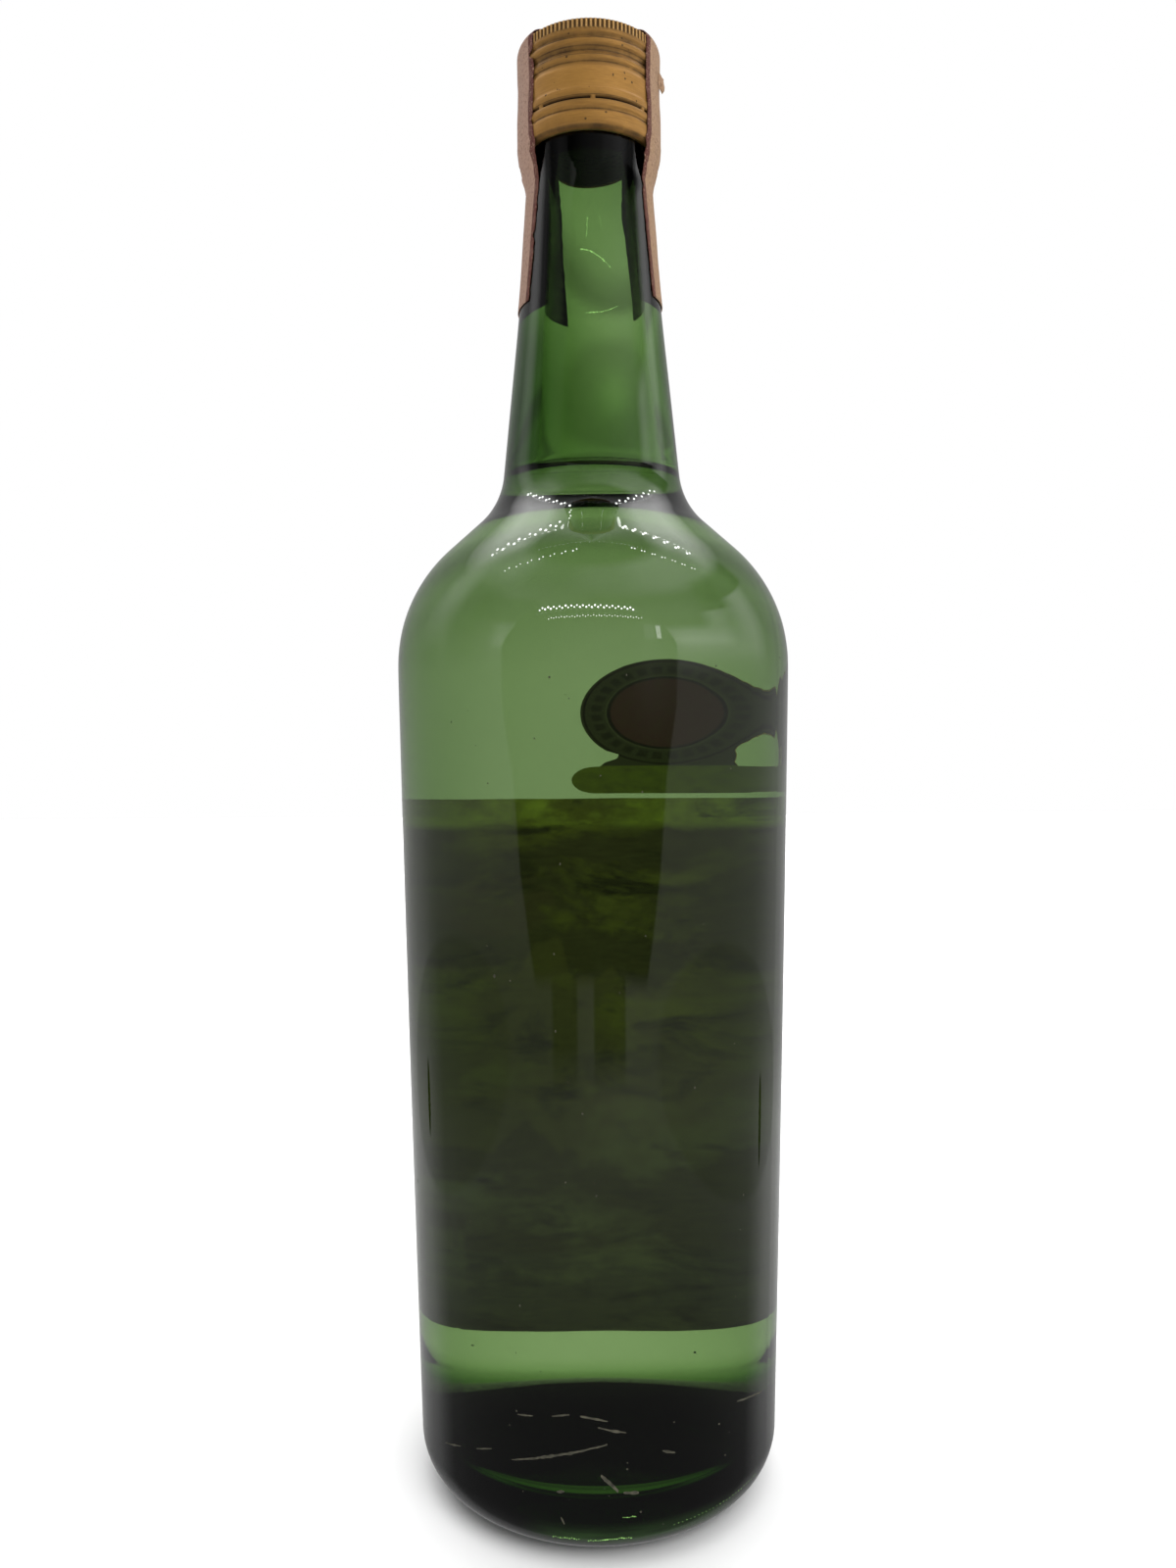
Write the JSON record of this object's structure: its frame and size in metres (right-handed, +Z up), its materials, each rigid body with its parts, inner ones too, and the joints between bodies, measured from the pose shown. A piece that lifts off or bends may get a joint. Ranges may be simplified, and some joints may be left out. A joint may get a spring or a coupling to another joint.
{
  "type": "spirits bottle",
  "caption": "Tall round green glass bottle filled with clear spirit, shut by a gold screw cap with a paper strip over it, with a paper label and a crest label on one side.",
  "frame": {"origin": "centre of the base, on the plane the bottle stands on", "axes": "+Z up the bottle's axis; +Y towards the side with the labels, -Y towards the plain side; +X to the right when looking along +Y"},
  "size_m": [0.0882, 0.0883, 0.3206],
  "materials": {
    "bottle_glass": "clear green, glossy",
    "drink": "clear liquid",
    "screw_cap": "gold-lacquered aluminium, aged",
    "paper_strip": "matte",
    "front_label": "matte",
    "shoulder_label": "matte"
  },
  "bodies": {
    "root": {"bottle_glass": "bottle_glass", "drink": "drink", "screw_cap": "screw_cap", "paper_strip": "paper_strip", "front_label": "front_label", "shoulder_label": "shoulder_label"}
  },
  "joints": []
}
